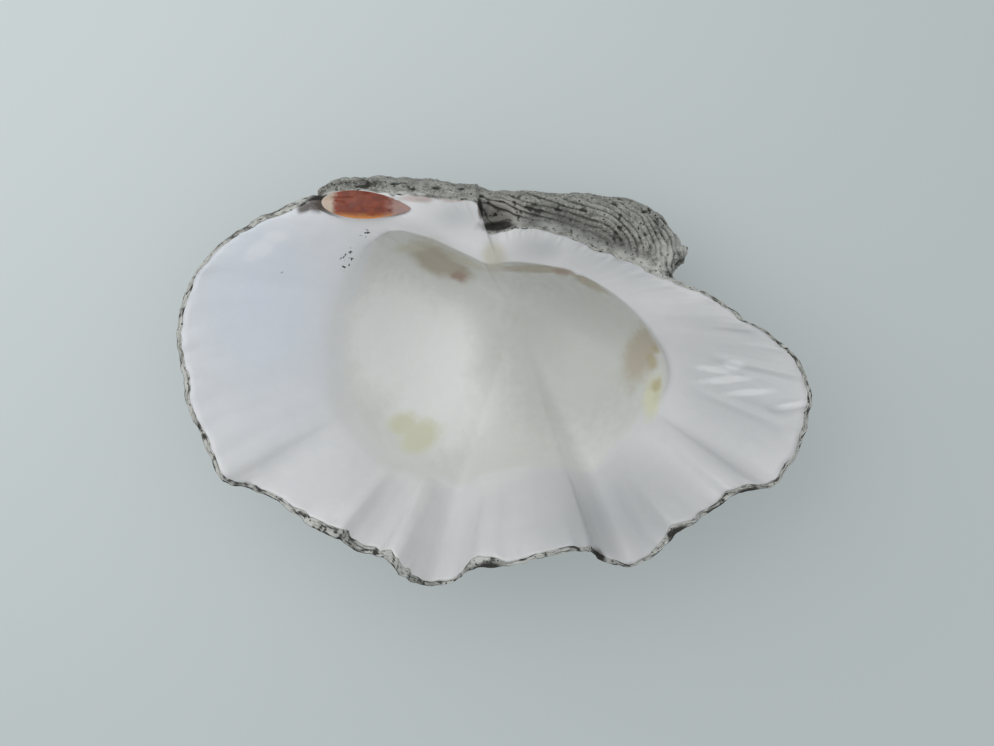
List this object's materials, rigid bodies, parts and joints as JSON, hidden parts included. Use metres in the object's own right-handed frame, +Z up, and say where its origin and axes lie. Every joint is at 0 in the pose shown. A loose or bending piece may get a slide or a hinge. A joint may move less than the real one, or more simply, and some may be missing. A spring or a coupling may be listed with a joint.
{
  "type": "giant clam shell",
  "caption": "Single deeply folded valve of an elongate giant clam, lying on its back as an open bowl, with the dried ligament in its hinge groove.",
  "frame": {"origin": "middle of the shell's box in plan, at the height of the surface it rests on", "axes": "+X along the shell's length towards the byssal (anterior) end, +Y towards the hinge, +Z up out of the hollow"},
  "size_m": [0.3002, 0.1966, 0.0921],
  "materials": {
    "shell": "aragonite shell: satin porcelain-white inside, rough grey worn outside",
    "ligament": "dried horny ligament, translucent amber brown"
  },
  "bodies": {
    "root": {"valve": "shell", "ligament": "ligament"}
  },
  "joints": []
}
